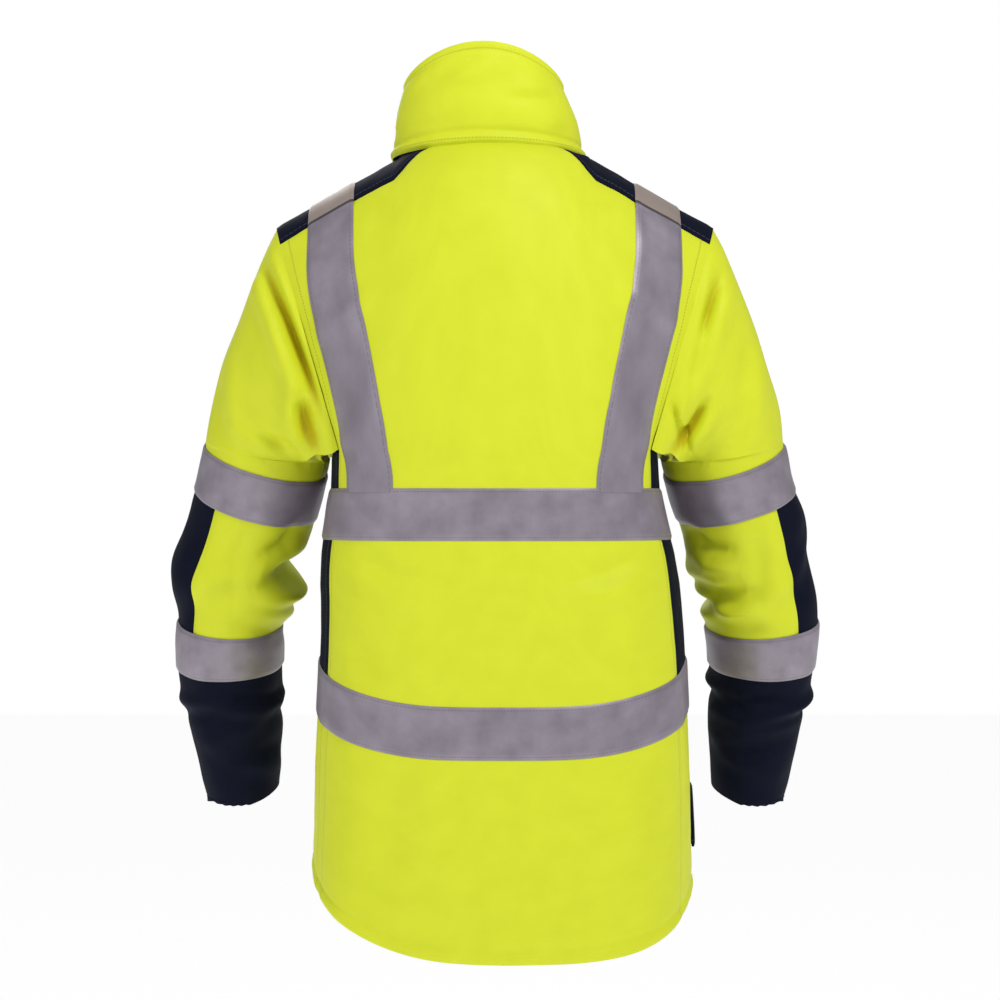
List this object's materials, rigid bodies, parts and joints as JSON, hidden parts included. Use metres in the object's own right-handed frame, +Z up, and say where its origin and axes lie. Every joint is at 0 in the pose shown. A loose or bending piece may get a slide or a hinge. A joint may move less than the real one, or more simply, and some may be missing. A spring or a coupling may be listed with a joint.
{
  "type": "high-visibility work coat",
  "caption": "Hip-length work coat with stand collar, contrasting side, shoulder and elbow panels, and reflective tape round waist, hem, shoulders and sleeves.",
  "frame": {"origin": "middle of the neck opening at the height of the back neck seam", "axes": "+Z up, -Y out of the front of the coat, +X to the wearer's left"},
  "size_m": [0.6668, 0.3453, 0.8957],
  "materials": {
    "yellow_shell": "matt coated twill",
    "navy_shell": "matt coated twill",
    "lining": "quilted taffeta",
    "reflective_tape": "fine glass-bead tape, soft sheen",
    "black_trim": "woven tape",
    "zip_metal": "satin"
  },
  "bodies": {
    "coat_body": {"back_panel": "yellow_shell", "waist_tape_back": "reflective_tape", "hem_tape_back": "reflective_tape", "collar": "yellow_shell", "collar_lining": "lining", "hang_loop": "black_trim", "back_lining": "lining", "back_hem_facing": "yellow_shell", "zip_teeth": "zip_metal", "zip_box": "zip_metal", "wind_guard": "navy_shell", "left_front_panel": "yellow_shell", "left_side_panel": "navy_shell", "left_side_hem_panel": "yellow_shell", "left_shoulder_yoke": "navy_shell", "left_front_lining": "lining", "left_waist_tape_front": "reflective_tape", "left_hem_tape_front": "reflective_tape", "left_brace_tape": "reflective_tape", "left_zip_tape": "black_trim", "left_hip_pocket": "yellow_shell", "right_front_panel": "yellow_shell", "right_side_panel": "navy_shell", "right_side_hem_panel": "yellow_shell", "right_shoulder_yoke": "navy_shell", "right_front_lining": "lining", "right_waist_tape_front": "reflective_tape", "right_hem_tape_front": "reflective_tape", "right_brace_tape": "reflective_tape", "right_zip_tape": "black_trim", "right_hip_pocket": "yellow_shell"},
    "left_upper_arm": {"left_sleeve_head": "yellow_shell", "left_upper_sleeve": "yellow_shell", "left_upper_sleeve_tape": "reflective_tape", "left_elbow_outer_panel": "navy_shell", "left_elbow_inner_panel": "yellow_shell"},
    "left_lower_arm": {"left_forearm": "navy_shell", "left_forearm_tape": "reflective_tape", "left_inner_cuff": "black_trim"},
    "left_cuff_tab_body": {"left_cuff_tab": "navy_shell"},
    "left_pocket_flap_body": {"left_hip_pocket_flap": "navy_shell"},
    "right_upper_arm": {"right_sleeve_head": "yellow_shell", "right_upper_sleeve": "yellow_shell", "right_upper_sleeve_tape": "reflective_tape", "right_elbow_outer_panel": "navy_shell", "right_elbow_inner_panel": "yellow_shell"},
    "right_lower_arm": {"right_forearm": "navy_shell", "right_forearm_tape": "reflective_tape", "right_inner_cuff": "black_trim"},
    "right_cuff_tab_body": {"right_cuff_tab": "navy_shell"},
    "right_pocket_flap_body": {"right_hip_pocket_flap": "navy_shell"},
    "slider_body": {"zip_slider": "zip_metal"},
    "puller_body": {"zip_puller": "zip_metal"}
  },
  "joints": [
    {"name": "left_shoulder", "type": "hinge", "parent": "coat_body", "child": "left_upper_arm", "pos_m": [0.19, -0.02, -0.12], "axis": [0, -1, 0], "range_deg": [0, 80], "deforming": ["left_sleeve_head"]},
    {"name": "left_elbow", "type": "hinge", "parent": "left_upper_arm", "child": "left_lower_arm", "pos_m": [0.263, -0.094, -0.412], "axis": [-1, 0, 0], "range_deg": [0, 90], "deforming": ["left_elbow_outer_panel", "left_elbow_inner_panel"]},
    {"name": "left_cuff_tab_hinge", "type": "hinge", "parent": "left_lower_arm", "child": "left_cuff_tab_body", "pos_m": [0.2893, -0.179, -0.608], "axis": [0.12, 0.2401, 0.9633], "range_deg": [0, 120]},
    {"name": "left_pocket_flap_hinge", "type": "hinge", "parent": "coat_body", "child": "left_pocket_flap_body", "pos_m": [0.1266, -0.1313, -0.631], "axis": [-0.881, -0.473, 0], "range_deg": [0, 75]},
    {"name": "right_shoulder", "type": "hinge", "parent": "coat_body", "child": "right_upper_arm", "pos_m": [-0.19, -0.02, -0.12], "axis": [0, 1, 0], "range_deg": [0, 80], "deforming": ["right_sleeve_head"]},
    {"name": "right_elbow", "type": "hinge", "parent": "right_upper_arm", "child": "right_lower_arm", "pos_m": [-0.263, -0.094, -0.412], "axis": [-1, 0, 0], "range_deg": [0, 90], "deforming": ["right_elbow_outer_panel", "right_elbow_inner_panel"]},
    {"name": "right_cuff_tab_hinge", "type": "hinge", "parent": "right_lower_arm", "child": "right_cuff_tab_body", "pos_m": [-0.2893, -0.179, -0.608], "axis": [0.12, -0.2401, -0.9633], "range_deg": [0, 120]},
    {"name": "right_pocket_flap_hinge", "type": "hinge", "parent": "coat_body", "child": "right_pocket_flap_body", "pos_m": [-0.1266, -0.1313, -0.631], "axis": [-0.881, 0.473, 0], "range_deg": [0, 75]},
    {"name": "zip_slide", "type": "slide", "parent": "coat_body", "child": "slider_body", "axis": [0, -0.0701, -0.9975], "range_m": [0, 0.626]},
    {"name": "puller_hinge", "type": "hinge", "parent": "slider_body", "child": "puller_body", "pos_m": [0, -0.1126, -0.0873], "axis": [-1, 0, 0], "range_deg": [0, 150]}
  ]
}
